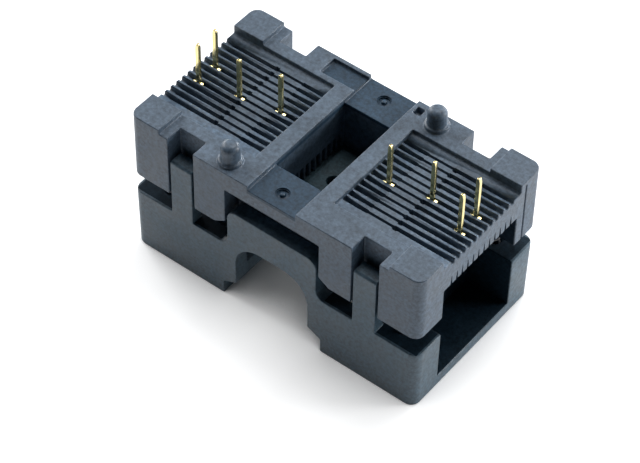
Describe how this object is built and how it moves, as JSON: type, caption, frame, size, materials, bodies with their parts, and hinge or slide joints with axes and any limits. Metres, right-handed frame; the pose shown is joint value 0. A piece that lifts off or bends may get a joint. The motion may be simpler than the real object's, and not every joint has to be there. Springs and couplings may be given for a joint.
{
  "type": "zif test socket",
  "caption": "Open-top zero-insertion-force test socket for a narrow-pitch gull-wing package, with a spring-loaded pressing cover, hinged contact arms and through-hole tails.",
  "frame": {"origin": "centre of the bounding box at the outer face of the cover, which is down, so the socket lies upside down as it does before it is soldered in", "axes": "+Z from the cover to the board side, along the cover's travel; +X along the long side; +Y along the contact pitch. In use on a board the socket is turned over, and the package goes in from -Z."},
  "size_m": [0.0264, 0.0146, 0.0166],
  "materials": {
    "housing_plastic": "moulded high-temperature plastic, satin matt",
    "cover_plastic": "moulded high-temperature plastic, satin matt",
    "seat_plastic": "moulded high-temperature plastic, satin matt",
    "contact_gold": "gold-plated copper alloy, stamped",
    "spring_steel": "drawn spring wire"
  },
  "bodies": {
    "base": {"base_housing": "housing_plastic", "package_seat": "seat_plastic", "contact_tail_1": "contact_gold", "contact_tail_2": "contact_gold", "contact_tail_3": "contact_gold", "contact_tail_4": "contact_gold", "contact_tail_5": "contact_gold", "contact_tail_6": "contact_gold", "contact_tail_7": "contact_gold", "contact_tail_8": "contact_gold", "return_spring_1": "spring_steel", "return_spring_2": "spring_steel", "return_spring_3": "spring_steel", "return_spring_4": "spring_steel"},
    "cover": {"cover_frame": "cover_plastic"},
    "arms_right": {"contact_arm_1": "contact_gold", "contact_arm_2": "contact_gold", "contact_arm_3": "contact_gold", "contact_arm_4": "contact_gold"},
    "arms_left": {"contact_arm_5": "contact_gold", "contact_arm_6": "contact_gold", "contact_arm_7": "contact_gold", "contact_arm_8": "contact_gold"}
  },
  "joints": [
    {"name": "cover_press", "type": "slide", "parent": "base", "child": "cover", "axis": [0, 0, 1], "range_m": [0, 0.0017], "stiffness_N_per_m": 400, "springref_m": -0.002, "deforming": ["return_spring_1", "return_spring_2", "return_spring_3", "return_spring_4"]},
    {"name": "arms_right_open", "type": "hinge", "parent": "base", "child": "arms_right", "pos_m": [0.0059, 0, 0.0099], "axis": [0, -1, 0], "range_deg": [0, 33]},
    {"name": "arms_left_open", "type": "hinge", "parent": "base", "child": "arms_left", "pos_m": [-0.0059, 0, 0.0099], "axis": [0, 1, 0], "range_deg": [0, 33]}
  ],
  "couplings": [
    {"joint": "arms_right_open", "follows": "cover_press", "rad_per_m": 330},
    {"joint": "arms_left_open", "follows": "cover_press", "rad_per_m": 330}
  ]
}
